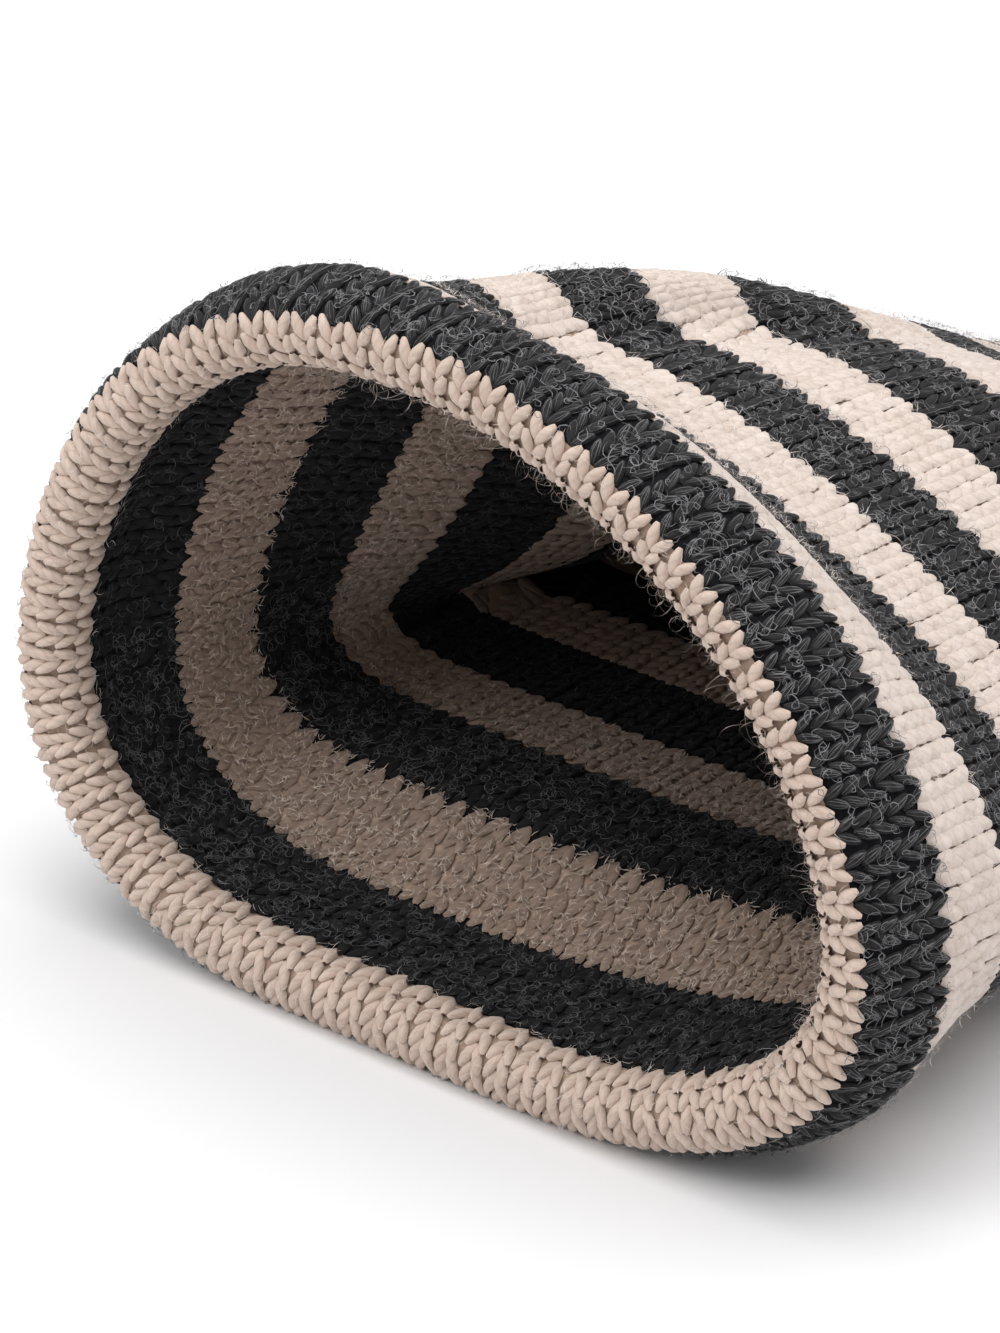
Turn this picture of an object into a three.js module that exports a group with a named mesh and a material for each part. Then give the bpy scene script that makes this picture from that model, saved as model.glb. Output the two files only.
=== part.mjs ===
// A striped knitted cap of double cloth, lying on its side with its mouth open.
// The cap is one knitted tube: an outer and an inner layer that run on into each other
// round the rolled rim, and are gathered to a point at the crown.
// Millimetres, +Z up, mouth towards -Y, crown towards +Y.
import * as THREE from "three";

// Driving dimensions
const MOUTH_WIDTH = 158;
const MOUTH_HEIGHT = 122;
const CAP_LENGTH = 200;
const WALL = 7;
const RIM_ROLL = 11.4;
const RIM_TAPER = 15;
const FLATTENED = 1.5;
const SLACK_BELOW = 13;
const CORNER_SLACK = 6;
const CROWN_GATHER = 1.8;

// Pattern and mesh counts
const GATHERS = 7;
const WALES = 80;
const ROWS_ALONG = 22;
const ROWS_ROUND_RIM = 8;
const ARC_STEPS = 16;
const OUTLINE_POINTS = 180;
const ROUNDING_PASSES = 16;
const GATHER_START = 0.7;
const SLACK_MIDDLE = 0.36;
const SLACK_REACH = 0.22;
const SLACK_FACING_NONE = 0.3;
const SLACK_FACING_FULL = 0.95;
const CORNER_MIDDLE = 0.045;
const CORNER_REACH = 0.045;
const CORNER_TURN = 0.63;
const CORNER_SPREAD = 0.05;
const LAST_STATION = 0.985;

// Stripes, in millimetres of cloth measured from the front of the rim fold
const STRIPE_DARK = 17.2;
const STRIPE_LIGHT = 15.3;
const FIRST_DARK_OUTSIDE = 5.1;
const FIRST_DARK_INSIDE = 12;
const CLOTH_OVER_LENGTH = 1.165;
const CLOTH_DEPTH = CAP_LENGTH * CLOTH_OVER_LENGTH;
const DARK = new THREE.Color("#3c3d41");
const LIGHT = new THREE.Color("#cbb7a4");

// One row for each section of the cap, from the rim to the crown, at the middle of the cloth.
// station: share of the cloth between rim and crown.
// reach, lean: place along the cap, and how much further back the top lies, shares of CAP_LENGTH.
// left to floor_right: places across, shares of half MOUTH_WIDTH.
// The heights (left_z, lobe_z, dip_z, bulge_z, right_z, floor_z) are shares of MOUTH_HEIGHT.
// slump, shoulder: how far the upper left and upper right sag inside a full round, 1 for none.
const COLUMNS = [
  "station", "reach", "lean", "left", "left_z", "lobe", "lobe_z", "dip", "dip_z",
  "bulge", "bulge_z", "right", "right_z", "floor_left", "floor_right", "floor_z", "slump", "shoulder",
];
const SECTIONS = [
  [0.0, 0.014, 0.085, -1.0, 0.38, -0.27, 0.93, -0.2, 0.93, -0.13, 0.93, 1.02, 0.33, -0.35, 0.36, 0.042, 1.0, 1.12],
  [0.04, 0.064, 0.072, -0.985, 0.35, -0.33, 0.94, -0.22, 0.94, -0.12, 0.93, 1.05, 0.322, -0.38, 0.1, 0.05, 1.0, 1.1],
  [0.085, 0.121, 0.061, -0.92, 0.32, -0.34, 0.92, -0.21, 0.905, -0.1, 0.885, 1.075, 0.315, -0.4, -0.12, 0.065, 1.12, 1.12],
  [0.165, 0.223, 0.03, -0.86, 0.28, -0.4, 0.87, -0.21, 0.795, -0.05, 0.775, 1.1, 0.32, -0.51, 0.05, 0.155, 1.45, 1.35],
  [0.29, 0.363, 0.005, -0.84, 0.243, -0.32, 0.845, -0.18, 0.74, -0.04, 0.745, 1.07, 0.34, -0.65, 0.21, 0.165, 2.4, 1.45],
  [0.4, 0.489, 0.0, -0.84, 0.207, -0.17, 0.795, -0.07, 0.69, 0.1, 0.7, 1.05, 0.325, -0.71, 0.35, 0.158, 3.0, 1.45],
  [0.52, 0.632, 0.0, -0.805, 0.18, 0.0, 0.67, 0.1, 0.615, 0.23, 0.63, 1.04, 0.305, -0.71, 0.49, 0.125, 2.8, 1.3],
  [0.71, 0.813, 0.0, -0.71, 0.17, 0.0, 0.49, 0.1, 0.47, 0.21, 0.485, 0.96, 0.25, -0.54, 0.57, 0.043, 1.6, 1.1],
  [0.87, 0.945, 0.0, -0.43, 0.17, 0.0, 0.37, 0.1, 0.365, 0.24, 0.38, 0.74, 0.215, -0.21, 0.51, 0.047, 1.2, 1.0],
  [1.0, 1.0, 0.0, 0.08, 0.235, 0.13, 0.28, 0.17, 0.29, 0.21, 0.28, 0.28, 0.235, 0.1, 0.25, 0.19, 1.0, 1.0],
];

const HALF_WALL = WALL / 2;
const RIM_RADIUS = RIM_ROLL / 2;

// Value of every column at a station, on a smooth curve through the rows.
function sectionAt(station) {
  const last = SECTIONS.length - 1;
  let i = 0;
  while (i < last - 1 && station >= SECTIONS[i + 1][0]) i++;
  const [from, to] = [SECTIONS[i], SECTIONS[i + 1]];
  const gap = to[0] - from[0];
  const t = (station - from[0]) / gap;
  const slope = (k, c) => {
    const before = SECTIONS[Math.max(k - 1, 0)];
    const after = SECTIONS[Math.min(k + 1, last)];
    return (after[c] - before[c]) / (after[0] - before[0]);
  };
  const values = {};
  COLUMNS.forEach((name, c) => {
    values[name] =
      (2 * t ** 3 - 3 * t ** 2 + 1) * from[c] +
      (t ** 3 - 2 * t ** 2 + t) * gap * slope(i, c) +
      (3 * t ** 2 - 2 * t ** 3) * to[c] +
      (t ** 3 - t ** 2) * gap * slope(i + 1, c);
  });
  return values;
}

// Quarter of an ellipse between two points, upright at the first or at the second. A pull over 1 slackens it.
function quarter(points, from, to, uprightFirst, pull) {
  for (let k = 0; k < ARC_STEPS; k++) {
    const angle = ((k / ARC_STEPS) * Math.PI) / 2;
    const cos = Math.cos(angle) ** pull;
    const sin = Math.sin(angle) ** pull;
    const across = uprightFirst ? 1 - cos : sin;
    const up = uprightFirst ? sin : 1 - cos;
    points.push([from[0] + (to[0] - from[0]) * across, from[1] + (to[1] - from[1]) * up]);
  }
}

// Level at both ends, with a smooth rise or fall between them.
function swell(points, from, to) {
  for (let k = 0; k < ARC_STEPS; k++) {
    const t = k / ARC_STEPS;
    const blend = (1 - Math.cos(Math.PI * t)) / 2;
    points.push([from[0] + (to[0] - from[0]) * t, from[1] + (to[1] - from[1]) * blend]);
  }
}

// A closed outline as evenly spaced points.
function spaced(outline, count) {
  const closed = [...outline, outline[0]];
  const along = [0];
  for (let k = 1; k < closed.length; k++) {
    const step = Math.hypot(closed[k][0] - closed[k - 1][0], closed[k][1] - closed[k - 1][1]);
    along.push(along[k - 1] + step);
  }
  const total = along[along.length - 1];
  const result = [];
  let k = 0;
  for (let n = 0; n < count; n++) {
    const wanted = (n / count) * total;
    while (along[k + 1] < wanted) k++;
    const t = (wanted - along[k]) / (along[k + 1] - along[k] || 1);
    result.push([0, 1].map((axis) => closed[k][axis] + (closed[k + 1][axis] - closed[k][axis]) * t));
  }
  return result;
}

// Cloth has no sharp corners: each pass moves a point towards the middle of its neighbours.
function rounded(outline, passes) {
  let points = outline;
  for (let pass = 0; pass < passes; pass++) {
    points = points.map((point, k) => {
      const before = points[(k + points.length - 1) % points.length];
      const after = points[(k + 1) % points.length];
      return point.map((value, axis) => value / 2 + (before[axis] + after[axis]) / 4);
    });
  }
  return points;
}

// Ring of points round the middle of the cloth at a station.
function ringAt(station) {
  const row = sectionAt(station);
  const place = (across, height) => [(row[across] * MOUTH_WIDTH) / 2, row[height] * MOUTH_HEIGHT];
  const left = place("left", "left_z");
  const lobe = place("lobe", "lobe_z");
  const dip = place("dip", "dip_z");
  const bulge = place("bulge", "bulge_z");
  const right = place("right", "right_z");
  const floorRight = place("floor_right", "floor_z");
  const floorLeft = place("floor_left", "floor_z");
  const outline = [];
  quarter(outline, left, lobe, true, row.slump);
  swell(outline, lobe, dip);
  swell(outline, dip, bulge);
  quarter(outline, bulge, right, false, row.shoulder);
  quarter(outline, right, floorRight, true, 1);
  swell(outline, floorRight, floorLeft);
  quarter(outline, floorLeft, left, false, 1);
  const smooth = rounded(spaced(outline, OUTLINE_POINTS), ROUNDING_PASSES);
  const gathered = Math.max(0, station - GATHER_START) / (1 - GATHER_START);
  const deep = CROWN_GATHER * Math.sin(Math.PI * gathered);
  const middle = [0, 1].map((axis) => smooth.reduce((sum, point) => sum + point[axis], 0) / smooth.length);
  return spaced(smooth, WALES).map(([x, z], wale) => {
    const away = Math.hypot(x - middle[0], z - middle[1]);
    const fold = (deep / away) * Math.cos((2 * Math.PI * GATHERS * wale) / WALES);
    const y = (row.reach + (row.lean * z) / MOUTH_HEIGHT) * CAP_LENGTH;
    return new THREE.Vector3(x + (x - middle[0]) * fold, y, z + (z - middle[1]) * fold);
  });
}

// Outward directions at every point of a grid of rings.
function outwardAt(rings, row, wale) {
  const count = rings[row].length;
  const ring = rings[row];
  const around = ring[(wale + 1) % count].clone().sub(ring[(wale + count - 1) % count]);
  const before = rings[Math.max(row - 1, 0)][wale];
  const after = rings[Math.min(row + 1, rings.length - 1)][wale];
  return around.cross(after.clone().sub(before)).normalize();
}

// Under the cap the outer layer hangs slack from the inner one and lies lower, most where it faces straight down.
function slackBelow(outward, station) {
  const facing = THREE.MathUtils.smoothstep(-outward.z, SLACK_FACING_NONE, SLACK_FACING_FULL);
  return SLACK_BELOW * facing * Math.exp(-(((station - SLACK_MIDDLE) / SLACK_REACH) ** 2));
}

// Behind the rim's lower right corner the outer layer bulges. The turn is the share of a round from the far left.
function slackAtCorner(turn, station) {
  const round = (turn - CORNER_TURN) / CORNER_SPREAD;
  const along = (station - CORNER_MIDDLE) / CORNER_REACH;
  return CORNER_SLACK * Math.exp(-(round ** 2) - along ** 2);
}

// Rings of the whole skin: inner face from crown to rim, round the fold, outer face from rim to crown.
function skinRings() {
  const stations = Array.from({ length: ROWS_ALONG + 1 }, (_, k) => (k / ROWS_ALONG) * LAST_STATION);
  const middle = stations.map(ringAt);
  const outward = middle.map((ring, row) => ring.map((_, wale) => outwardAt(middle, row, wale)));
  const halfAt = (station) => {
    const distance = (station * CLOTH_DEPTH) / RIM_TAPER;
    return HALF_WALL + (RIM_RADIUS - HALF_WALL) * Math.exp(-(distance ** 2));
  };
  const face = (row, side) =>
    middle[row].map((point, wale) =>
      point.clone().addScaledVector(outward[row][wale], side * halfAt(stations[row])),
    );
  const rows = stations.map((_, row) => row);
  const inner = rows.map((row) => face(row, -1)).reverse();
  const outer = rows.map((row) => face(row, 1));
  outer.forEach((ring, row) =>
    ring.forEach((point, wale) => {
      const direction = outward[row][wale];
      point.z -= slackBelow(direction, stations[row]);
      point.addScaledVector(direction, slackAtCorner(wale / WALES, stations[row]));
    }),
  );
  const fold = [];
  for (let k = 1; k < ROWS_ROUND_RIM; k++) {
    const angle = (k / ROWS_ROUND_RIM) * Math.PI;
    fold.push(
      middle[0].map((point, wale) => {
        const forward = point.clone().sub(middle[1][wale]).normalize();
        return point
          .clone()
          .addScaledVector(outward[0][wale], -Math.cos(angle) * RIM_RADIUS)
          .addScaledVector(forward, Math.sin(angle) * RIM_RADIUS);
      }),
    );
  }
  return [...inner, ...fold, ...outer];
}

// Distance of cloth from the front of the rim fold at each ring, with the layer that it lies in.
function clothAt(ringIndex) {
  const arc = (Math.PI * RIM_RADIUS) / 2;
  if (ringIndex <= ROWS_ALONG) {
    return { inside: true, distance: arc + ((ROWS_ALONG - ringIndex) / ROWS_ALONG) * CLOTH_DEPTH };
  }
  const round = (ringIndex - ROWS_ALONG) / ROWS_ROUND_RIM;
  if (round < 1) return { inside: round < 1 / 2, distance: Math.abs(round - 1 / 2) * 2 * arc };
  return { inside: false, distance: arc + (round - 1) * (ROWS_ROUND_RIM / ROWS_ALONG) * CLOTH_DEPTH };
}

function stripeColour({ inside, distance }) {
  const start = inside ? FIRST_DARK_INSIDE : FIRST_DARK_OUTSIDE;
  const past = distance - start;
  const repeat = STRIPE_DARK + STRIPE_LIGHT;
  return past >= 0 && past % repeat < STRIPE_DARK ? DARK : LIGHT;
}

// Cloth that lies on the surface is pressed flat there.
function pressedFlat(point, floor) {
  return new THREE.Vector3(point.x, point.y, Math.max(point.z, floor) - floor);
}

function capGeometry() {
  const rings = skinRings();
  const lowest = Math.min(...rings.flat().map((point) => point.z));
  const floor = lowest + FLATTENED;
  const positions = [];
  const colours = [];
  const indices = [];
  rings.forEach((ring, row) => {
    const colour = stripeColour(clothAt(row));
    ring.forEach((point) => {
      positions.push(...pressedFlat(point, floor).toArray());
      colours.push(colour.r, colour.g, colour.b);
    });
  });
  for (let row = 0; row + 1 < rings.length; row++) {
    for (let wale = 0; wale < WALES; wale++) {
      const next = (wale + 1) % WALES;
      const [a, b] = [row * WALES + wale, row * WALES + next];
      const [c, d] = [a + WALES, b + WALES];
      indices.push(a, b, d, a, d, c);
    }
  }
  // The gathered crown closes each layer at one point.
  const closings = [
    { row: 0, away: -1 },
    { row: rings.length - 1, away: 1 },
  ];
  for (const { row, away } of closings) {
    const centre = new THREE.Vector3();
    rings[row].forEach((point) => centre.addScaledVector(point, 1 / WALES));
    const pole = positions.length / 3;
    positions.push(centre.x, centre.y, Math.max(centre.z, floor) - floor);
    const colour = stripeColour(clothAt(row));
    colours.push(colour.r, colour.g, colour.b);
    for (let wale = 0; wale < WALES; wale++) {
      const a = row * WALES + wale;
      const b = row * WALES + ((wale + 1) % WALES);
      indices.push(...(away > 0 ? [a, b, pole] : [b, a, pole]));
    }
  }
  const geometry = new THREE.BufferGeometry();
  geometry.setAttribute("position", new THREE.Float32BufferAttribute(positions, 3));
  geometry.setAttribute("color", new THREE.Float32BufferAttribute(colours, 3));
  geometry.setIndex(indices);
  // The origin is at the middle of the cap's box, on the surface that it lies on.
  geometry.computeBoundingBox();
  const middle = geometry.boundingBox.getCenter(new THREE.Vector3());
  geometry.translate(-middle.x, -middle.y, -geometry.boundingBox.min.z);
  geometry.computeVertexNormals();
  return geometry;
}

function buildCap() {
  const material = new THREE.MeshStandardMaterial({ vertexColors: true, roughness: 0.95, metalness: 0 });
  const mesh = new THREE.Mesh(capGeometry(), material);
  mesh.name = "knit_cap";
  return mesh;
}

const cap = new THREE.Group();
cap.name = "striped_knit_cap";
cap.add(buildCap());

export default cap;
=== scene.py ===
"""Looks of the striped knitted cap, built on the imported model: every stitch of both layers, the curls
of the dark yarn and the soft fuzz, on the same form as the solid. Millimetres inside, metres in Blender."""
import math

import bpy
import numpy as np
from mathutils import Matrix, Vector


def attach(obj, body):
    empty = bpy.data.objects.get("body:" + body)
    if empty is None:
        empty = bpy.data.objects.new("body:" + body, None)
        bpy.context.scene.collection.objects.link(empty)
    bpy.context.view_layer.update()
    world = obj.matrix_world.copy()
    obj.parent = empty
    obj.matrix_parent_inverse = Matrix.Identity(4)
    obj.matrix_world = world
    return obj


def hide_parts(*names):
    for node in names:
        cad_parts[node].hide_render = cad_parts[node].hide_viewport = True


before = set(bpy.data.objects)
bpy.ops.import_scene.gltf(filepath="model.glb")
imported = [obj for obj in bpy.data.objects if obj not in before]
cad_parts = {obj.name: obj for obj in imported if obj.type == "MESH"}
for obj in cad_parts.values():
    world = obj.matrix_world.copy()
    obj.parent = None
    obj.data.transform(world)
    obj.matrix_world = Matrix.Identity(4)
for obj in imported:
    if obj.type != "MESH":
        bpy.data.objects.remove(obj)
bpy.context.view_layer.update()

# Driving dimensions of the form, the same as the solid's
MOUTH_WIDTH = 158
MOUTH_HEIGHT = 122
CAP_LENGTH = 200
WALL = 7
RIM_ROLL = 11.4
RIM_TAPER = 15
FLATTENED = 1.5
FLOOR_GAP = 0.05
CLOTH_SHARE = 1.165
SLACK_BELOW = 13
CORNER_SLACK = 6
CROWN_GATHER = 1.8
GATHERS = 7
GATHER_START = 0.7
SLACK_MIDDLE = 0.36
SLACK_REACH = 0.22
SLACK_FACING = (0.3, 0.95)
CORNER_MIDDLE = 0.045
CORNER_REACH = 0.045
CORNER_TURN = 0.63
CORNER_SPREAD = 0.05
ARC_STEPS = 16
OUTLINE_POINTS = 180
ROUNDING_PASSES = 16
LAST_STATION = 0.985
CLOTH_DEPTH = CAP_LENGTH * CLOTH_SHARE
HALF_WALL = WALL / 2
RIM_RADIUS = RIM_ROLL / 2
FOLD_ARC = math.pi * RIM_RADIUS / 2

# Stripes, in millimetres of cloth from the front of the rim fold, and wales round the cap. Half of the
# wales and a quarter of them are left beyond these shares of the way to the crown.
STRIPE_DARK = 17.2
STRIPE_LIGHT = 15.3
FIRST_DARK_OUTSIDE = 5.1
FIRST_DARK_INSIDE = 12
COURSES_A_STRIPE = 5
WALES = 88
HALF_WALES_FROM = 0.84
QUARTER_WALES_FROM = 0.94

# One row for each section from the rim to the crown. Places across are shares of half MOUTH_WIDTH,
# heights shares of MOUTH_HEIGHT, reach and lean shares of CAP_LENGTH.
COLUMNS = (
    "station reach lean left left_z lobe lobe_z dip dip_z bulge bulge_z right right_z "
    "floor_left floor_right floor_z slump shoulder"
).split()
SECTIONS = np.array([
    [0.0, 0.014, 0.085, -1.0, 0.38, -0.27, 0.93, -0.2, 0.93,
     -0.13, 0.93, 1.02, 0.33, -0.35, 0.36, 0.042, 1.0, 1.12],
    [0.04, 0.064, 0.072, -0.985, 0.35, -0.33, 0.94, -0.22, 0.94,
     -0.12, 0.93, 1.05, 0.322, -0.38, 0.1, 0.05, 1.0, 1.1],
    [0.085, 0.121, 0.061, -0.92, 0.32, -0.34, 0.92, -0.21, 0.905,
     -0.1, 0.885, 1.075, 0.315, -0.4, -0.12, 0.065, 1.12, 1.12],
    [0.165, 0.223, 0.03, -0.86, 0.28, -0.4, 0.87, -0.21, 0.795,
     -0.05, 0.775, 1.1, 0.32, -0.51, 0.05, 0.155, 1.45, 1.35],
    [0.29, 0.363, 0.005, -0.84, 0.243, -0.32, 0.845, -0.18, 0.74,
     -0.04, 0.745, 1.07, 0.34, -0.65, 0.21, 0.165, 2.4, 1.45],
    [0.4, 0.489, 0.0, -0.84, 0.207, -0.17, 0.795, -0.07, 0.69,
     0.1, 0.7, 1.05, 0.325, -0.71, 0.35, 0.158, 3.0, 1.45],
    [0.52, 0.632, 0.0, -0.805, 0.18, 0.0, 0.67, 0.1, 0.615,
     0.23, 0.63, 1.04, 0.305, -0.71, 0.49, 0.125, 2.8, 1.3],
    [0.71, 0.813, 0.0, -0.71, 0.17, 0.0, 0.49, 0.1, 0.47,
     0.21, 0.485, 0.96, 0.25, -0.54, 0.57, 0.043, 1.6, 1.1],
    [0.87, 0.945, 0.0, -0.43, 0.17, 0.0, 0.37, 0.1, 0.365,
     0.24, 0.38, 0.74, 0.215, -0.21, 0.51, 0.047, 1.2, 1.0],
    [1.0, 1.0, 0.0, 0.08, 0.235, 0.13, 0.28, 0.17, 0.29,
     0.21, 0.28, 0.28, 0.235, 0.1, 0.25, 0.19, 1.0, 1.0],
])

# Skin that the stitches are laid on: its density, and how the wales run along it
SKIN_COLUMNS = 352
SKIN_ROWS = 150
FOLD_ROWS = 16
CLOSING_SHARES = (0.8, 0.6, 0.4, 0.2, 0.04)
NEAREST_WINDOW = 12
WALE_EVENNESS = 0.05
WALE_SMOOTHING = 2

# Stitches: shares of a wale across and of a leg along, heights and pitches in millimetres, turns in radians.
# The cloth behind them is sunk under the skin and has fewer rows and columns.
LEG_TIP_ACROSS = 0.12
LEG_ARM_ACROSS = 0.46
LEG_UNEVEN = 0.05
LEG_JITTERS = 6
LEG_STEP = 0.02
LEG_HALF_TURN = 1.75
LEG_END = 0.06
LEG_BLUNTNESS = 0.6
LEG_TIP_LIFT = 0.4
LEG_DIVE = 0.95
LEG_SUNK = 0.35
LARGEST_PITCH = 6.5
USUAL_PITCH = 4.6
CORE_SUNK = 0.75
CORE_ROW_STEP = 2
CORE_COLUMN_STEP = 3
DARK_OVERLAP = 0.8

# Form of the stitches by place: density, reach in courses, half width and half thickness in millimetres
NEAR = {"rows": 6, "sides": 5, "reach": 1.4, "width": 0.99, "plump": 0.95}
NEAR_DARK = {"rows": 6, "sides": 5, "reach": 1.25, "width": 0.82, "plump": 0.8}
OUTSIDE = {"rows": 5, "sides": 4, "reach": 1.45, "width": 1.42, "plump": 0.5}
OUTSIDE_DARK = {"rows": 5, "sides": 4, "reach": 1.3, "width": 0.92, "plump": 0.62}
INSIDE = {"rows": 5, "sides": 4, "reach": 1.2, "width": 1.08, "plump": 0.4}
DEEP = {"rows": 3, "sides": 3, "reach": 1.3, "width": 1.1, "plump": 0.7}

# One row for each piece of stitches: name, slot, yarn, least and greatest cloth distance, form
STITCH_PIECES = (
    ("beige_stitches_rim", "beige_yarn", "beige_yarn", -12, 12, NEAR),
    # The outside beige stitches take a lighter copy of the yarn: painted sheen.
    ("beige_stitches_outside", "beige_yarn", "lit_outer_beige_yarn", 12, 400, OUTSIDE),
    # The inside rows take darker copies of the yarns: painted shade.
    ("beige_stitches_inside", "beige_yarn", "shaded_inner_beige_yarn", -110, -12, INSIDE),
    ("beige_stitches_deep", "beige_yarn", "shaded_inner_beige_yarn", -400, -110, DEEP),
    ("charcoal_stitches_rim", "charcoal_yarn", "charcoal_yarn", 0, 23, NEAR_DARK),
    ("charcoal_stitches_outside", "charcoal_yarn", "charcoal_yarn", 23, 400, OUTSIDE_DARK),
    ("charcoal_stitches_inside", "charcoal_yarn", "shaded_inner_charcoal_yarn", -110, 0, INSIDE),
    ("charcoal_stitches_deep", "charcoal_yarn", "shaded_inner_charcoal_yarn", -400, -110, DEEP),
)

# Fine plies on the dark legs: how far round the yarn they lie in radians, shares of a leg along,
# widths and heights in millimetres
PLY_SPREADS = {"outer": (0.7, 1.0), "inner": (0.2, 0.5)}
PLY_STEPS = 7
PLY_TIP = 0.06
PLY_OPEN_ENDS = (0.75, 1.0)
PLY_BEND = 1.4
PLY_SIDE_CHANGE = 2.6
PLY_WANDER = 0.09
PLY_SHARE = 0.8
PLY_ABOVE = 0.05
PLY_WIDTHS = (0.12, 0.22)

# Loose fibres: one row for each piece. Cloth distances, lengths, lifts, rises and widths in millimetres,
# bends in turns along the fibre, standing the share of the curl's plane that stands up.
STRAND_END = 0.08
CURL_TURN_STEP = 0.002
CURL_WOBBLE = 0.12
CURL_RISE_POWER = 1.3
FIBRE_COLUMNS = "slot yarn count reach turns length bend lift rise width steps standing".split()
FIBRE_PIECES = {
    "charcoal_curls": (
        "charcoal_yarn", "charcoal_curl", 10000, (0, 180), (0, 1),
        (2.2, 5.5), (0.5, 1.4), 0.8, (0.1, 0.6), (0.11, 0.19), 7, 0,
    ),
    # Curls inside, in a darker copy of the curl colour: painted shade.
    "inner_curls": (
        "charcoal_yarn", "inner_curl", 4500, (-100, -12), (0, 1),
        (2.2, 5), (0.4, 1.3), 0.55, (0.1, 0.5), (0.12, 0.2), 6, 0,
    ),
    # Curls on the lower part of the inside, lighter than the other inside curls: painted light.
    "lower_curls": (
        "charcoal_yarn", "lower_curl", 1700, (-64, -12), (0.6, 0.99),
        (2.4, 5.5), (0.5, 1.4), 0.6, (0.1, 0.6), (0.11, 0.17), 7, 0,
    ),
    "charcoal_fuzz": (
        "charcoal_yarn", "charcoal_curl", 4000, (0, 200), (0, 1),
        (2, 4), (0, 0.5), 0.5, (0.3, 1.4), (0.05, 0.09), 5, 0.2,
    ),
    # Fuzz of the outside, whiter than the yarn: painted sheen.
    "beige_fuzz": (
        "beige_yarn", "beige_fuzz", 19000, (12, 190), (0, 1),
        (1.5, 4), (0, 0.4), 0.55, (0.1, 0.9), (0.06, 0.11), 3, 0.1,
    ),
    # Fuzz inside, in a darker copy of the fuzz colour: painted shade.
    "inner_fuzz": (
        "beige_yarn", "inner_fuzz", 12000, (-75, -29), (0, 1),
        (0.8, 2.4), (0, 0.4), 0.5, (0.1, 0.4), (0.14, 0.24), 3, 0,
    ),
    "lip_fuzz": (
        "beige_yarn", "beige_fuzz", 2500, (-12, 12), (0, 1),
        (1.2, 3), (0, 0.5), 0.6, (0.1, 0.8), (0.04, 0.08), 4, 0.1,
    ),
    "lip_curls": (
        "beige_yarn", "lip_fibre", 150, (-9, -3), (0.2, 0.58),
        (6, 10), (0.6, 1.0), 0.6, (0.6, 2.0), (0.13, 0.18), 14, 0.85,
    ),
}

# Yarn materials with twist lines: darkest and lightest colour, shade of the lines, sheen, its tint,
# roughness
PLIED_YARNS = {
    "beige_yarn": ((0.61, 0.475, 0.395), (0.73, 0.585, 0.495), 0.9, 0.5, (1, 0.95, 0.91), 0.85),
    # Lighter, whiter copy of the beige yarn for the outside: painted sheen and light on the outer stripes.
    "lit_outer_beige_yarn": ((0.67, 0.56, 0.49), (0.79, 0.685, 0.62), 0.9, 0.6, (1, 0.97, 0.95), 0.85),
    # Darker copy of the beige yarn for the inside: painted shade.
    "shaded_inner_beige_yarn": ((0.3, 0.22, 0.17), (0.4, 0.295, 0.235), 0.85, 0.2, (1, 0.96, 0.93), 0.9),
    "charcoal_yarn": ((0.0165, 0.0155, 0.016), (0.041, 0.039, 0.04), 0.7, 0.15, (0.92, 0.93, 1), 0.9),
    # Darker copy of the charcoal yarn for the inside: painted shade.
    "shaded_inner_charcoal_yarn": (
        (0.008, 0.008, 0.0085), (0.019, 0.0185, 0.0195), 0.7, 0.05, (0.8, 0.85, 1), 0.95,
    ),
}

# Plain yarn materials: darkest and lightest colour, sheen, its tint, roughness
PLAIN_YARNS = {
    "charcoal_ply": ((0.085, 0.082, 0.084), (0.175, 0.17, 0.175), 0.2, (0.92, 0.93, 1), 0.8),
    "charcoal_curl": ((0.115, 0.112, 0.115), (0.275, 0.27, 0.28), 0.2, (0.92, 0.93, 1), 0.8),
    # Real fuzz fibres, coloured whiter than the beige yarn: painted sheen.
    "beige_fuzz": ((0.72, 0.63, 0.57), (0.88, 0.8, 0.74), 0.4, (1, 0.97, 0.95), 0.8),
    # Darker copy of the curl colour for the inside: painted shade.
    "inner_curl": ((0.025, 0.025, 0.027), (0.085, 0.085, 0.09), 0.1, (0.8, 0.85, 1), 0.9),
    # Lighter than the other inside curls, for the lower part of the inside: painted light from the front.
    "lower_curl": ((0.06, 0.059, 0.06), (0.15, 0.147, 0.153), 0.1, (0.8, 0.85, 1), 0.9),
    # Darker copy of the beige fuzz colour for the inside: painted shade.
    "inner_fuzz": ((0.3, 0.235, 0.19), (0.68, 0.57, 0.49), 0.2, (1, 0.97, 0.95), 0.9),
    "lip_fibre": ((0.3, 0.26, 0.24), (0.46, 0.42, 0.38), 0.3, (1, 1, 1), 0.8),
    # Cloth behind the stitches, darker than the yarns: painted shade in the gaps between stitches.
    "shaded_beige_core": ((0.4, 0.285, 0.215), (0.47, 0.345, 0.265), 0.1, (1, 0.9, 0.85), 0.95),
    "shaded_charcoal_core": ((0.006, 0.006, 0.008), (0.012, 0.012, 0.014), 0.0, (1, 1, 1), 0.95),
}

# What the yarns share: sheen, patches of colour, surface grain in metres, twist lines of the plies
SHEEN_ROUGHNESS = 0.35
YARN_SPECULAR = 0.25
NOISE_ROUGHNESS = 0.55
PATCH_SCALE = 260
PATCH_STOPS = (0.3, 0.7)
PLAIN_SCALE = 900
PLAIN_STOPS = (0.35, 0.68)
COLOUR_DETAIL = 3
GRAIN_SCALE = 5200
GRAIN_DETAIL = 4
GRAIN_ROUGHNESS = 0.7
GRAIN_STRENGTH = 0.5
GRAIN_HEIGHT = 0.00025
TWIST_TURNS = 2.2
TWIST_SLANT = 1.4
TWIST_STOP = 0.35

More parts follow.
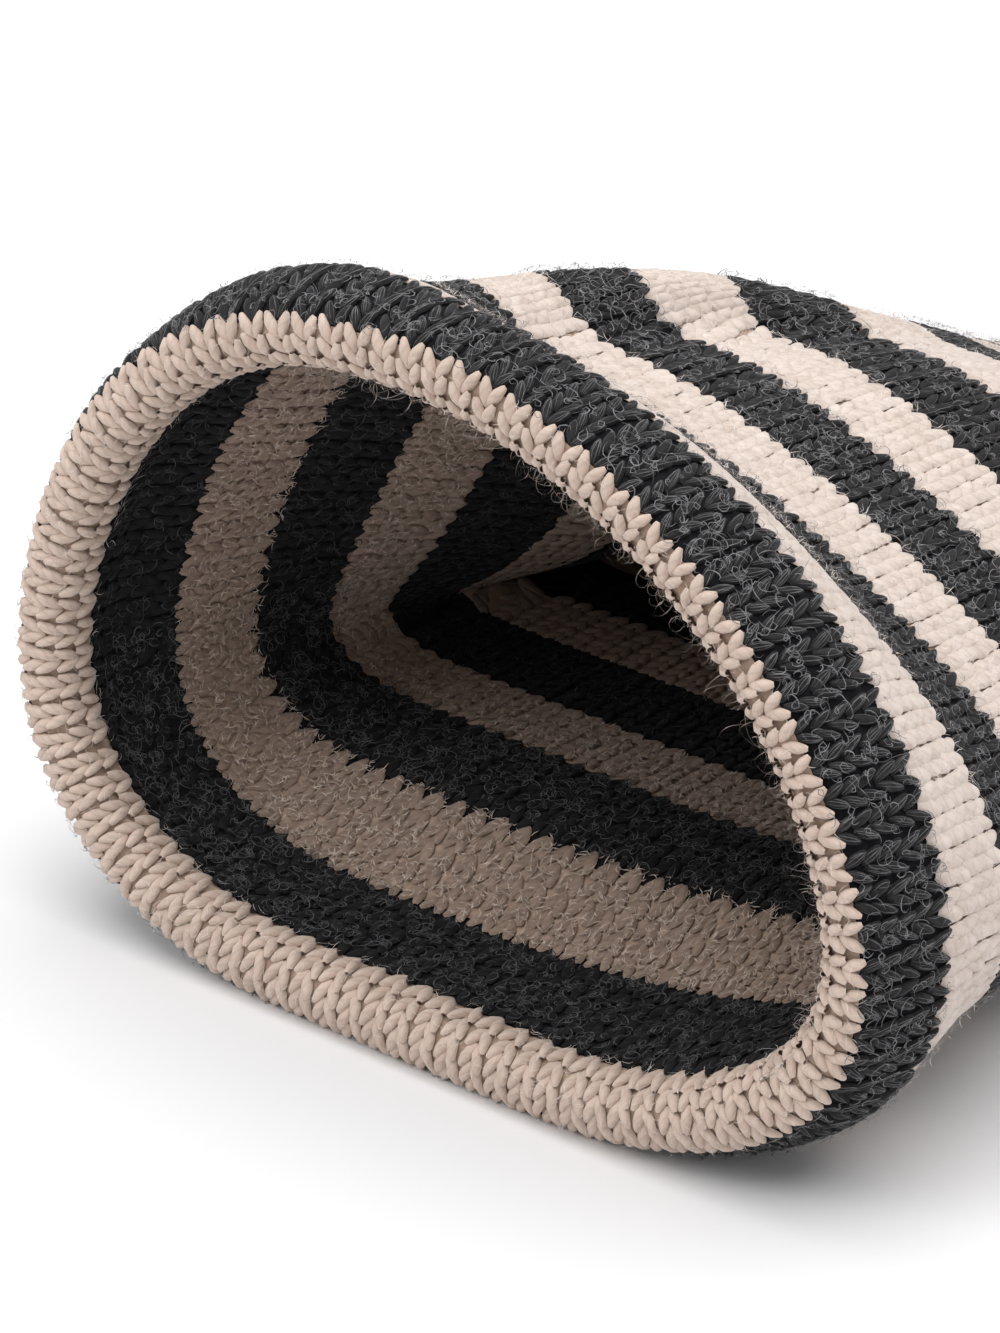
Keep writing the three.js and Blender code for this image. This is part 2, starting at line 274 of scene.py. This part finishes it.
# Stage, in metres and watts
FLOOR_REACH = 4.0
FLOOR_COLOUR = (0.86, 0.86, 0.87)
FLOOR_ROUGHNESS = 0.9
FLOOR_SPECULAR = 0.1
WORLD_STRENGTH = 0.4
LIGHTS = {
    "overhead_box": {"place": (0.2, 0.3, 2.5), "target": (0.1, 0.1, 0), "size": 4.0, "power": 90},
    "front_box": {"place": (-0.8, -1.1, 1.0), "target": (0, 0, 0.05), "size": 0.8, "power": 6.5},
}

# Camera, from the photograph's view: degrees, millimetres and pixels
IMAGE_WIDTH = 1000
IMAGE_HEIGHT = 1333
VIEW_AZIMUTH = 38
VIEW_ELEVATION = 30
VIEW_DISTANCE = 880
FOCAL_PIXELS = 5864
SENSOR = 36
AIM_PIXEL = (483, 716)
AIM_POINT = (16.5, 0, 68.75)

MM = 0.001
SHORTEST = 1e-9
random = np.random.default_rng(11)


def smoothstep(value, low, high):
    """Smooth rise from 0 at the low value to 1 at the high one."""
    t = np.clip((value - low) / (high - low), 0, 1)
    return t * t * (3 - 2 * t)


def unit(vectors):
    return vectors / np.maximum(np.linalg.norm(vectors, axis=-1, keepdims=True), SHORTEST)


# The form


def section_at(station):
    """Value of every column at a station, on a smooth curve through the rows."""
    last = len(SECTIONS) - 1
    i = 0
    while i < last - 1 and station >= SECTIONS[i + 1][0]:
        i += 1
    start, end = SECTIONS[i], SECTIONS[i + 1]
    gap = end[0] - start[0]
    t = (station - start[0]) / gap

    def slope(k):
        before, after = SECTIONS[max(k - 1, 0)], SECTIONS[min(k + 1, last)]
        return (after - before) / (after[0] - before[0])

    values = (
        (2 * t**3 - 3 * t**2 + 1) * start
        + (t**3 - 2 * t**2 + t) * gap * slope(i)
        + (3 * t**2 - 2 * t**3) * end
        + (t**3 - t**2) * gap * slope(i + 1)
    )
    return dict(zip(COLUMNS, values))


def quarter(start, end, upright_first, pull):
    """Quarter of an ellipse between two points, upright at the first or at the second."""
    angle = np.arange(ARC_STEPS) / ARC_STEPS * math.pi / 2
    cos, sin = np.cos(angle) ** pull, np.sin(angle) ** pull
    across, up = (1 - cos, sin) if upright_first else (sin, 1 - cos)
    return np.c_[start[0] + (end[0] - start[0]) * across, start[1] + (end[1] - start[1]) * up]


def swell(start, end):
    """Level at both ends, with a smooth rise or fall between them."""
    t = np.arange(ARC_STEPS) / ARC_STEPS
    blend = (1 - np.cos(math.pi * t)) / 2
    return np.c_[start[0] + (end[0] - start[0]) * t, start[1] + (end[1] - start[1]) * blend]


def spaced(outline, count):
    """A closed outline as evenly spaced points."""
    closed = np.vstack([outline, outline[:1]])
    along = np.r_[0, np.cumsum(np.linalg.norm(np.diff(closed, axis=0), axis=1))]
    wanted = np.arange(count) / count * along[-1]
    return np.stack([np.interp(wanted, along, place) for place in closed.T], -1)


def rounded(outline, passes):
    """A closed outline, smoothed as many times as there are passes."""
    for _ in range(passes):
        outline = outline / 2 + (np.roll(outline, 1, 0) + np.roll(outline, -1, 0)) / 4
    return outline


def ring_at(station):
    """Ring of points round the middle of the cloth at a station."""
    row = section_at(station)

    def place(across, height):
        return row[across] * MOUTH_WIDTH / 2, row[height] * MOUTH_HEIGHT

    left, lobe, dip = place("left", "left_z"), place("lobe", "lobe_z"), place("dip", "dip_z")
    bulge, right = place("bulge", "bulge_z"), place("right", "right_z")
    floor_right, floor_left = place("floor_right", "floor_z"), place("floor_left", "floor_z")
    outline = np.vstack([
        quarter(left, lobe, True, row["slump"]),
        swell(lobe, dip),
        swell(dip, bulge),
        quarter(bulge, right, False, row["shoulder"]),
        quarter(right, floor_right, True, 1),
        swell(floor_right, floor_left),
        quarter(floor_left, left, False, 1),
    ])
    smooth = rounded(spaced(outline, OUTLINE_POINTS), ROUNDING_PASSES)
    gathered = max(0, station - GATHER_START) / (1 - GATHER_START)
    deep = CROWN_GATHER * math.sin(math.pi * gathered)
    middle = smooth.mean(0)
    ring = spaced(smooth, SKIN_COLUMNS)
    away = np.linalg.norm(ring - middle, axis=1, keepdims=True)
    turn = 2 * math.pi * GATHERS * np.arange(SKIN_COLUMNS)[:, None] / SKIN_COLUMNS
    y = (row["reach"] + row["lean"] * ring[:, 1] / MOUTH_HEIGHT) * CAP_LENGTH
    folded = ring + (ring - middle) / away * deep * np.cos(turn)
    return np.c_[folded[:, 0], y, folded[:, 1]]


def directions(rings):
    """Directions out of a skin of rings, from its neighbours round and along."""
    around = np.roll(rings, -1, 1) - np.roll(rings, 1, 1)
    along = np.empty_like(rings)
    along[1:-1] = rings[2:] - rings[:-2]
    along[0], along[-1] = rings[1] - rings[0], rings[-1] - rings[-2]
    return unit(np.cross(around, along))


def make_skin():
    """The whole skin as (cloth distance, rings, directions): inner crown, rim fold, outer crown.
    Cloth distance is negative inside and positive outside, with 0 at the front of the fold."""
    stations = np.linspace(0, LAST_STATION, SKIN_ROWS)
    middle = np.array([ring_at(station) for station in stations])
    outward = directions(middle)
    distance = stations * CLOTH_DEPTH
    half = HALF_WALL + (RIM_RADIUS - HALF_WALL) * np.exp(-((distance / RIM_TAPER) ** 2))
    inner = middle - outward * half[:, None, None]
    outer = middle + outward * half[:, None, None]
    facing = smoothstep(-outward[..., 2], *SLACK_FACING)
    window = np.exp(-(((stations - SLACK_MIDDLE) / SLACK_REACH) ** 2))
    outer[..., 2] -= SLACK_BELOW * facing * window[:, None]
    corner = np.exp(-(((np.arange(SKIN_COLUMNS) / SKIN_COLUMNS - CORNER_TURN) / CORNER_SPREAD) ** 2))
    corner_window = np.exp(-(((stations - CORNER_MIDDLE) / CORNER_REACH) ** 2))
    outer += outward * (CORNER_SLACK * corner_window[:, None] * corner)[..., None]
    angles = np.arange(1, FOLD_ROWS) / FOLD_ROWS * math.pi
    forward = unit(middle[0] - middle[1])
    fold = np.array([
        middle[0] - outward[0] * math.cos(angle) * RIM_RADIUS + forward * math.sin(angle) * RIM_RADIUS
        for angle in angles
    ])
    fold_distance = (angles / math.pi * 2 - 1) * FOLD_ARC
    closing, closing_distance = closing_rings(outer[-1], distance[-1])
    inner_closing, _ = closing_rings(inner[-1], distance[-1])
    rings = np.concatenate([inner_closing[::-1], inner[::-1], fold, outer, closing])
    along = np.r_[-(closing_distance[::-1] + FOLD_ARC), -(distance[::-1] + FOLD_ARC), fold_distance,
                  distance + FOLD_ARC, closing_distance + FOLD_ARC]
    evened = np.array([spaced(ring, SKIN_COLUMNS) for ring in rings])
    rings = straightened(evened, np.abs(along).argmin())
    return along, rings, directions(rings)


def slid(ring, turns):
    """Points on a closed ring at shares of a turn."""
    place = (turns % 1) * SKIN_COLUMNS
    column = np.floor(place).astype(int) % SKIN_COLUMNS
    share = (place - np.floor(place))[:, None]
    return ring[column] * (1 - share) + ring[(column + 1) % SKIN_COLUMNS] * share


def straightened(rings, start):
    """Slides every ring round itself, so that the wales run straight along the cloth and nearly even."""
    even = np.arange(SKIN_COLUMNS) / SKIN_COLUMNS
    result = rings.copy()
    window = np.arange(-NEAREST_WINDOW, NEAREST_WINDOW + 1)
    for step in (1, -1):
        turns = even.copy()
        row = start
        while 0 <= row + step < len(rings):
            ring = rings[row + step]
            columns = (np.round(turns * SKIN_COLUMNS).astype(int)[:, None] + window) % SKIN_COLUMNS
            gaps = np.linalg.norm(result[row][:, None] - ring[columns], axis=2)
            nearest = columns[np.arange(SKIN_COLUMNS), gaps.argmin(1)]
            tangent = (ring[(nearest + 1) % SKIN_COLUMNS] - ring[nearest - 1]) / 2
            offset = ((result[row] - ring[nearest]) * tangent).sum(1) / (tangent**2).sum(1)
            found = (nearest + np.clip(offset, -1, 1)) / SKIN_COLUMNS
            wander = turns + (found - turns + 0.5) % 1 - 0.5 - even
            wander += WALE_EVENNESS * (wander.mean() - wander)
            for _ in range(WALE_SMOOTHING):
                wander = wander / 2 + (np.roll(wander, 1) + np.roll(wander, -1)) / 4
            turns = even + wander
            row += step
            result[row] = slid(ring, turns)
    return result


def closing_rings(ring, distance):
    """Rings that close the end of the crown, with the cloth distance of each."""
    centre = ring.mean(0)
    radius = np.linalg.norm(ring - centre, axis=1).mean()
    rings = np.array([centre + (ring - centre) * share for share in CLOSING_SHARES])
    return rings, distance + radius * (1 - np.array(CLOSING_SHARES))


def placed(points):
    """Points in the part's frame: the box's middle at the origin, pressed flat on the floor."""
    moved = points - ORIGIN
    moved[..., 2] = np.maximum(moved[..., 2], FLOOR_GAP)
    return moved


def skin_at(turn, distance):
    """Point and direction on the skin at a share of a turn round the cap and a cloth distance."""
    row = np.clip(np.searchsorted(SKIN_DISTANCE, distance) - 1, 0, len(SKIN_DISTANCE) - 2)
    t = ((distance - SKIN_DISTANCE[row]) / (SKIN_DISTANCE[row + 1] - SKIN_DISTANCE[row]))[..., None]
    t = np.clip(t, 0, 1)
    place = (turn % 1) * SKIN_COLUMNS
    column = np.floor(place).astype(int) % SKIN_COLUMNS
    following = (column + 1) % SKIN_COLUMNS
    s = (place - np.floor(place))[..., None]

    def mixed(grid):
        low = grid[row, column] * (1 - s) + grid[row, following] * s
        high = grid[row + 1, column] * (1 - s) + grid[row + 1, following] * s
        return low * (1 - t) + high * t

    return mixed(SKIN), unit(mixed(SKIN_OUT))


SKIN_DISTANCE, SKIN, SKIN_OUT = make_skin()
CLOTH_END = SKIN_DISTANCE[-1]
LOWEST, HIGHEST = SKIN.reshape(-1, 3).min(0), SKIN.reshape(-1, 3).max(0)
ORIGIN = np.array([*(LOWEST + HIGHEST)[:2] / 2, LOWEST[2] + FLATTENED])


# Stitches


def stripes():
    """Every stripe as (start, end, is it dark) in cloth distance, from the inner crown to the outer one."""
    found = [(-FIRST_DARK_INSIDE, FIRST_DARK_OUTSIDE, False)]
    for side, first in ((1, FIRST_DARK_OUTSIDE), (-1, FIRST_DARK_INSIDE)):
        start, dark = first, True
        while start < CLOTH_END:
            end = min(start + (STRIPE_DARK if dark else STRIPE_LIGHT), CLOTH_END)
            found.append((start, end, dark) if side > 0 else (-end, -start, dark))
            start, dark = end, not dark
    return sorted(found)


def wales_at(distance):
    """Number of stitches round the cap: stitches are knitted together near the crown."""
    station = (abs(distance) - FOLD_ARC) / CLOTH_DEPTH
    if station > QUARTER_WALES_FROM:
        return WALES // 4
    if station > HALF_WALES_FROM:
        return WALES // 2
    return WALES


def stitches(dark, low_limit, high_limit):
    """Turn, distance of the lower edge, height and width in turns of every stitch of one colour."""
    rows = []
    for start, end, is_dark in stripes():
        full = STRIPE_DARK if is_dark else STRIPE_LIGHT
        if start < 0 < end:
            full = end - start
        courses = max(1, round(COURSES_A_STRIPE * (end - start) / full))
        height = (end - start) / courses
        for course in range(courses):
            base = start + course * height
            if is_dark != dark or not low_limit <= base + height / 2 < high_limit:
                continue
            wales = wales_at(base)
            for wale in range(wales):
                rows.append(((wale + 0.5) / wales, base, height, 1 / wales))
    return np.array(rows).reshape(-1, 4)


def make_mesh(name, points, faces, material, uv=None):
    """Joined mesh from arrays, smooth, in metres, riding on the cap."""
    mesh = bpy.data.meshes.new(name)
    mesh.vertices.add(len(points))
    mesh.vertices.foreach_set("co", (placed(points) * MM).astype(np.float32).ravel())
    sides = faces.shape[1]
    mesh.loops.add(faces.size)
    mesh.loops.foreach_set("vertex_index", faces.astype(np.int32).ravel())
    mesh.polygons.add(len(faces))
    mesh.polygons.foreach_set("loop_start", np.arange(len(faces), dtype=np.int32) * sides)
    mesh.polygons.foreach_set("loop_total", np.full(len(faces), sides, np.int32))
    mesh.polygons.foreach_set("use_smooth", np.ones(len(faces), bool))
    if uv is not None:
        layer = mesh.uv_layers.new(name="UVMap")
        layer.data.foreach_set("uv", uv[faces.ravel()].astype(np.float32).ravel())
    mesh.update(calc_edges=True)
    mesh.materials.append(material)
    piece = bpy.data.objects.new(name, mesh)
    bpy.context.scene.collection.objects.link(piece)
    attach(piece, "root")
    return piece


def leg_frames(stitch, jitter, t, shape):
    """Both legs of every stitch at shares t along them, from the joined tip to the open arm: place of the
    middle line, direction out, direction sideways, half width, half thickness and lift of the yarn."""
    longer, further, wider, turned, broader, thicker = jitter
    turn, base, height, wale = (column[:, None, None] for column in stitch.T)
    side = np.array([-1.0, 1.0])[None, :, None]
    reach = height * (shape["reach"] + LEG_UNEVEN * longer)

    def middle(share):
        spot = base + height * (0.5 + LEG_UNEVEN * further) + reach * (0.5 - share)
        across = LEG_TIP_ACROSS + (LEG_ARM_ACROSS - LEG_TIP_ACROSS) * share
        aside = side * across + LEG_UNEVEN / 2 * (side * wider + turned)
        return skin_at(turn + wale * aside, spot)

    point, out = middle(t)
    ahead, _ = middle(t + LEG_STEP)
    sideways = unit(np.cross(out, ahead - point))
    edges = [skin_at(stitch[:, 0] + sign * stitch[:, 3] / 2, stitch[:, 1])[0] for sign in (-1, 1)]
    pitch = np.minimum(np.linalg.norm(edges[1] - edges[0], axis=-1), LARGEST_PITCH)[:, None, None]
    taper = np.sin(math.pi * (LEG_END + (1 - 2 * LEG_END) * t)) ** LEG_BLUNTNESS
    half = shape["width"] * np.sqrt(pitch / USUAL_PITCH) * taper * (1 + LEG_UNEVEN * broader)
    tall = shape["plump"] * taper * (1 + LEG_UNEVEN * thicker)
    lift = shape["plump"] * (LEG_TIP_LIFT - LEG_DIVE * t) - LEG_SUNK
    return point, out, sideways, half, tall, lift


def on_legs(frames, angle, above=0.0):
    """Points on the yarn of the legs, or above it, at angles round it on the last axis."""
    point, out, sideways, half, tall, lift = frames
    up = lift[..., None] + (tall[..., None] + above) * np.cos(angle)
    aside = (half[..., None] + above) * np.sin(angle)
    offset = out[..., None, :] * up[..., None] + sideways[..., None, :] * aside[..., None]
    return point[..., None, :] + offset


def quad_grid(rows, sides):
    """Faces of a grid of points, row by row."""
    r, s = np.meshgrid(np.arange(rows - 1), np.arange(sides - 1), indexing="ij")
    corner = (r * sides + s).ravel()
    return np.stack([corner, corner + 1, corner + sides + 1, corner + sides], -1)


def repeated(faces, count, each):
    """The faces of a number of copies of one grid, with as many points in each."""
    return (faces[None] + (np.arange(count) * each)[:, None, None]).reshape(-1, faces.shape[1])


def make_legs(name, stitch, jitter, material, shape):
    """The two leaf-shaped legs of every stitch, as half tubes of yarn."""
    rows, sides = shape["rows"], shape["sides"]
    t = np.broadcast_to((1 - np.cos(np.linspace(0, math.pi, rows))) / 2, (len(stitch), 2, rows))
    angle = np.linspace(-LEG_HALF_TURN, LEG_HALF_TURN, sides)
    points = on_legs(leg_frames(stitch, jitter, t, shape), angle).reshape(-1, 3)
    faces = repeated(quad_grid(rows, sides), len(stitch) * 2, rows * sides)
    grid_u = np.broadcast_to(t[..., None], (*t.shape, sides))
    grid_v = np.broadcast_to(angle / (2 * LEG_HALF_TURN) + 0.5, (*t.shape, sides))
    return make_mesh(name, points, faces, material, np.stack([grid_u, grid_v], -1).reshape(-1, 2))


# Loose strands


def make_strands(name, lines, out, width, material):
    """Thin ribbons that face out, one along every line of points. Their ends narrow to a point."""
    count, steps = lines.shape[:2]
    along = unit(np.gradient(lines, axis=1))
    narrow = np.sin(math.pi * np.linspace(STRAND_END, 1 - STRAND_END, steps))[None, :, None]
    half = unit(np.cross(out, along)) * narrow * width[:, None, None] / 2
    points = np.stack([lines - half, lines + half], 2).reshape(-1, 3)
    return make_mesh(name, points, repeated(quad_grid(steps, 2), count, steps * 2), material)


def plies(stitch, jitter, shape, spread_limits):
    """A fine ply that runs up one flank of each leg, round its tip and down the other."""
    s = np.linspace(-1, 1, PLY_STEPS)
    count = len(stitch)
    open_end = random.uniform(*PLY_OPEN_ENDS, (count, 2, 1))
    t = PLY_TIP + (open_end - PLY_TIP) * np.abs(s) ** PLY_BEND
    spread = random.uniform(*spread_limits, (count, 2, 1))
    angle = spread * np.tanh(PLY_SIDE_CHANGE * s) + random.normal(0, PLY_WANDER, (count, 2, 1))
    frames = leg_frames(stitch, jitter, t, shape)
    lines = on_legs(frames, angle[..., None], PLY_ABOVE)[..., 0, :]
    out = on_legs(frames, angle[..., None], PLY_ABOVE + 1)[..., 0, :] - lines
    kept = random.random((count, 2)) < PLY_SHARE
    return lines[kept], unit(out[kept])


def curls(turn, distance, length, bend, lift, rise, steps, standing):
    """Curled fibres that start on the skin and lie loosely over it, with their directions out."""
    count = len(turn)
    point, out = skin_at(turn, distance)
    before, _ = skin_at(turn - CURL_TURN_STEP, distance)
    around = unit(point - before)
    along = unit(np.cross(out, around) * (1 - standing) + out * standing)
    s = np.linspace(0, 1, steps)[None, :]
    start = random.uniform(0, 2 * math.pi, (count, 1))
    wobble = CURL_WOBBLE * np.sin(2 * math.pi * (s + random.random((count, 1))))
    heading = start + 2 * math.pi * bend[:, None] * (s + wobble)
    step = length[:, None] / (steps - 1)
    x = np.cumsum(np.cos(heading) * step, 1)
    y = np.cumsum(np.sin(heading) * step, 1)
    x -= x.mean(1, keepdims=True)
    y -= y.mean(1, keepdims=True)
    up = lift + rise[:, None] * s**CURL_RISE_POWER
    flat = around[:, None] * x[..., None] + along[:, None] * y[..., None]
    lines = point[:, None] + flat + out[:, None] * up[..., None]
    return lines, np.broadcast_to(out[:, None], lines.shape)


def scattered(dark, count, low_limit, high_limit, turn_limits):
    """Random places on the stripes of one colour: shares of a turn and cloth distances."""
    spans = [(max(a, low_limit), min(b, high_limit)) for a, b, is_dark in stripes() if is_dark == dark]
    spans = np.array([span for span in spans if span[1] > span[0]])
    lengths = spans[:, 1] - spans[:, 0]
    picked = random.choice(len(spans), count, p=lengths / lengths.sum())
    distance = spans[picked, 0] + random.random(count) * lengths[picked]
    return random.uniform(*turn_limits, count), distance


# Materials


def socket(node, name, value):
    node.inputs[name].default_value = value


def new_material(name, roughness, sheen, sheen_tint):
    """Soft matt material, with its node tree and its shader."""
    material = bpy.data.materials.new(name)
    material.use_nodes = True
    shader = material.node_tree.nodes["Principled BSDF"]
    socket(shader, "Roughness", roughness)
    socket(shader, "Specular IOR Level", YARN_SPECULAR)
    socket(shader, "Sheen Weight", sheen)
    socket(shader, "Sheen Roughness", SHEEN_ROUGHNESS)
    socket(shader, "Sheen Tint", (*sheen_tint, 1))
    return material, material.node_tree, shader


def noise(tree, scale, detail, roughness=NOISE_ROUGHNESS):
    coordinates = tree.nodes.new("ShaderNodeTexCoord")
    texture = tree.nodes.new("ShaderNodeTexNoise")
    socket(texture, "Scale", scale)
    socket(texture, "Detail", detail)
    socket(texture, "Roughness", roughness)
    tree.links.new(coordinates.outputs["Object"], texture.inputs["Vector"])
    return texture.outputs["Fac"]


def ramp(tree, factor, stops):
    """Colour ramp between two stops."""
    node = tree.nodes.new("ShaderNodeValToRGB")
    tree.links.new(factor, node.inputs["Fac"])
    elements = node.color_ramp.elements
    for element, (position, colour) in zip(elements, stops):
        element.position = position
        element.color = (*colour, 1)
    return node.outputs["Color"]


def twist_lines(tree):
    """Fine twist lines of the yarn's plies along a leg, 0 to 1."""
    coordinates = tree.nodes.new("ShaderNodeTexCoord")
    split = tree.nodes.new("ShaderNodeSeparateXYZ")
    tree.links.new(coordinates.outputs["UV"], split.inputs["Vector"])

    def calculate(operation, first, second):
        node = tree.nodes.new("ShaderNodeMath")
        node.operation = operation
        for spot, value in enumerate((first, second)):
            if value is None:
                continue
            if isinstance(value, (int, float)):
                node.inputs[spot].default_value = value
            else:
                tree.links.new(value, node.inputs[spot])
        return node.outputs["Value"]

    along = calculate("MULTIPLY", split.outputs["X"], TWIST_TURNS * 2 * math.pi)
    across = calculate("MULTIPLY", split.outputs["Y"], TWIST_SLANT * 2 * math.pi)
    wave = calculate("SINE", calculate("ADD", along, across), None)
    return calculate("ADD", calculate("MULTIPLY", wave, 0.5), 0.5)


def plied_yarn(name, dark, light, line_shade, sheen, sheen_tint, roughness):
    """Yarn in patches of two colours, with twist lines and a fine grain."""
    material, tree, shader = new_material(name, roughness, sheen, sheen_tint)
    patches = ramp(tree, noise(tree, PATCH_SCALE, COLOUR_DETAIL), zip(PATCH_STOPS, (dark, light)))
    shade = ramp(tree, twist_lines(tree), zip((0.0, TWIST_STOP), ((line_shade,) * 3, (1, 1, 1))))
    multiply = tree.nodes.new("ShaderNodeMix")
    multiply.data_type = "RGBA"
    multiply.blend_type = "MULTIPLY"
    multiply.inputs["Factor"].default_value = 1
    tree.links.new(patches, multiply.inputs["A"])
    tree.links.new(shade, multiply.inputs["B"])
    tree.links.new(multiply.outputs["Result"], shader.inputs["Base Color"])
    bump = tree.nodes.new("ShaderNodeBump")
    socket(bump, "Strength", GRAIN_STRENGTH)
    socket(bump, "Distance", GRAIN_HEIGHT)
    grain = noise(tree, GRAIN_SCALE, GRAIN_DETAIL, GRAIN_ROUGHNESS)
    tree.links.new(grain, bump.inputs["Height"])
    tree.links.new(bump.outputs["Normal"], shader.inputs["Normal"])
    return material


def plain_yarn(name, dark, light, sheen, sheen_tint, roughness):
    """Yarn in patches of two colours."""
    material, tree, shader = new_material(name, roughness, sheen, sheen_tint)
    colour = ramp(tree, noise(tree, PLAIN_SCALE, COLOUR_DETAIL), zip(PLAIN_STOPS, (dark, light)))
    tree.links.new(colour, shader.inputs["Base Color"])
    return material


def make_yarns():
    """Every yarn material by name."""
    yarns = {name: plied_yarn(name, *row) for name, row in PLIED_YARNS.items()}
    yarns.update({name: plain_yarn(name, *row) for name, row in PLAIN_YARNS.items()})
    return yarns


# The stage


def make_floor():
    mesh = bpy.data.meshes.new("floor")
    corners = [(x * FLOOR_REACH, y * FLOOR_REACH, 0) for x, y in ((-1, -1), (1, -1), (1, 1), (-1, 1))]
    mesh.from_pydata(corners, [], [(0, 1, 2, 3)])
    floor = bpy.data.objects.new("floor", mesh)
    bpy.context.scene.collection.objects.link(floor)
    material = bpy.data.materials.new("pale_floor")
    material.use_nodes = True
    shader = material.node_tree.nodes["Principled BSDF"]
    socket(shader, "Base Color", (*FLOOR_COLOUR, 1))
    socket(shader, "Roughness", FLOOR_ROUGHNESS)
    socket(shader, "Specular IOR Level", FLOOR_SPECULAR)
    mesh.materials.append(material)


def area_light(name, place, target, size, power):
    """Round soft light that shines on a target."""
    light = bpy.data.lights.new(name, "AREA")
    light.shape = "DISK"
    light.size = size
    light.energy = power
    lamp = bpy.data.objects.new(name, light)
    lamp.location = place
    lamp.rotation_euler = (Vector(target) - Vector(place)).to_track_quat("-Z", "Y").to_euler()
    bpy.context.scene.collection.objects.link(lamp)


def make_light():
    world = bpy.data.worlds.new("studio")
    bpy.context.scene.world = world
    world.use_nodes = True
    background = world.node_tree.nodes["Background"]
    socket(background, "Color", (1, 1, 1, 1))
    socket(background, "Strength", WORLD_STRENGTH)
    for name, light in LIGHTS.items():
        area_light(name, **light)
    bpy.context.scene.view_settings.view_transform = "Standard"


def make_camera():
    azimuth, elevation = math.radians(VIEW_AZIMUTH), math.radians(VIEW_ELEVATION)
    forward = Vector((
        -math.sin(azimuth) * math.cos(elevation),
        math.cos(azimuth) * math.cos(elevation),
        -math.sin(elevation),
    ))
    aim = Vector((np.array(AIM_POINT) - ORIGIN) * MM)
    camera = bpy.data.cameras.new("camera")
    camera.sensor_fit = "VERTICAL"
    camera.sensor_height = SENSOR
    camera.lens = FOCAL_PIXELS * SENSOR / IMAGE_HEIGHT
    camera.shift_x = (IMAGE_WIDTH / 2 - AIM_PIXEL[0]) / IMAGE_HEIGHT
    camera.shift_y = (AIM_PIXEL[1] - IMAGE_HEIGHT / 2) / IMAGE_HEIGHT
    holder = bpy.data.objects.new("camera", camera)
    holder.location = aim - forward * VIEW_DISTANCE * MM
    holder.rotation_euler = forward.to_track_quat("-Z", "Y").to_euler()
    bpy.context.scene.collection.objects.link(holder)
    bpy.context.scene.camera = holder


# The pieces


def make_core(yarns):
    """The cloth behind the stitches: both layers and the fold as one skin, coloured by stripe."""
    rows = np.arange(0, len(SKIN_DISTANCE), CORE_ROW_STEP)
    rows[-1] = len(SKIN_DISTANCE) - 1
    columns = np.arange(0, SKIN_COLUMNS, CORE_COLUMN_STEP)
    points = (SKIN - SKIN_OUT * CORE_SUNK)[rows][:, columns]
    row, column = np.meshgrid(np.arange(len(rows) - 1), np.arange(len(columns)), indexing="ij")
    following = (column + 1) % len(columns)
    near, far = row * len(columns), (row + 1) * len(columns)
    faces = np.stack([near + column, near + following, far + following, far + column], -1).reshape(-1, 4)
    # The cloth is real; its colours, darker than the yarns, are painted shade between the stitches.
    piece = make_mesh("cap_cloth", points.reshape(-1, 3), faces, yarns["shaded_beige_core"])
    piece.data.materials.append(yarns["shaded_charcoal_core"])
    middle = (SKIN_DISTANCE[rows][:-1] + SKIN_DISTANCE[rows][1:]) / 2
    dark = np.zeros(len(middle), np.int32)
    for start, end, is_dark in stripes():
        if is_dark:
            dark[(middle >= start - DARK_OVERLAP) & (middle < end + DARK_OVERLAP)] = 1
    piece.data.polygons.foreach_set("material_index", np.repeat(dark, len(columns)))
    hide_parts("knit_cap")


def make_stitches(yarns):
    """Every stitch of both layers, and the fine plies on the outer dark ones."""
    for name, slot, yarn, start, end, shape in STITCH_PIECES:
        stitch = stitches(slot == "charcoal_yarn", start, end)
        jitter = random.normal(0, 1, (LEG_JITTERS, len(stitch), 2, 1))
        make_legs(name, stitch, jitter, yarns[yarn], shape)
        if yarn == "charcoal_yarn":
            plies_name = name.replace("stitches", "plies")
            make_plies(plies_name, stitch, jitter, shape, yarns["charcoal_ply"])


def make_plies(name, stitch, jitter, shape, material):
    """The plies on one piece of stitches, of which the inner ones are only near the rim."""
    for layer, spread_limits in PLY_SPREADS.items():
        if layer == "inner" and shape is not NEAR_DARK:
            continue
        lines, out = plies(stitch, jitter, shape, spread_limits)
        width = random.uniform(*PLY_WIDTHS, len(lines))
        make_strands(f"{name}_{layer}", lines, out, width, material)


def make_fibres(yarns):
    """Curly fibres on the dark yarn, soft short ones on both, and stray loops on the top lip."""
    for name, values in FIBRE_PIECES.items():
        row = dict(zip(FIBRE_COLUMNS, values))
        count = row["count"]
        turn, distance = scattered(row["slot"] == "charcoal_yarn", count, *row["reach"], row["turns"])
        length = random.uniform(*row["length"], count)
        bend = random.uniform(*row["bend"], count) * random.choice([-1, 1], count)
        rise = random.uniform(*row["rise"], count)
        lines, out = curls(turn, distance, length, bend, row["lift"], rise, row["steps"], row["standing"])
        width = random.uniform(*row["width"], count)
        make_strands(name, lines, out, width, yarns[row["yarn"]])


make_floor()
make_light()
make_camera()
YARNS = make_yarns()
make_core(YARNS)
make_stitches(YARNS)
make_fibres(YARNS)
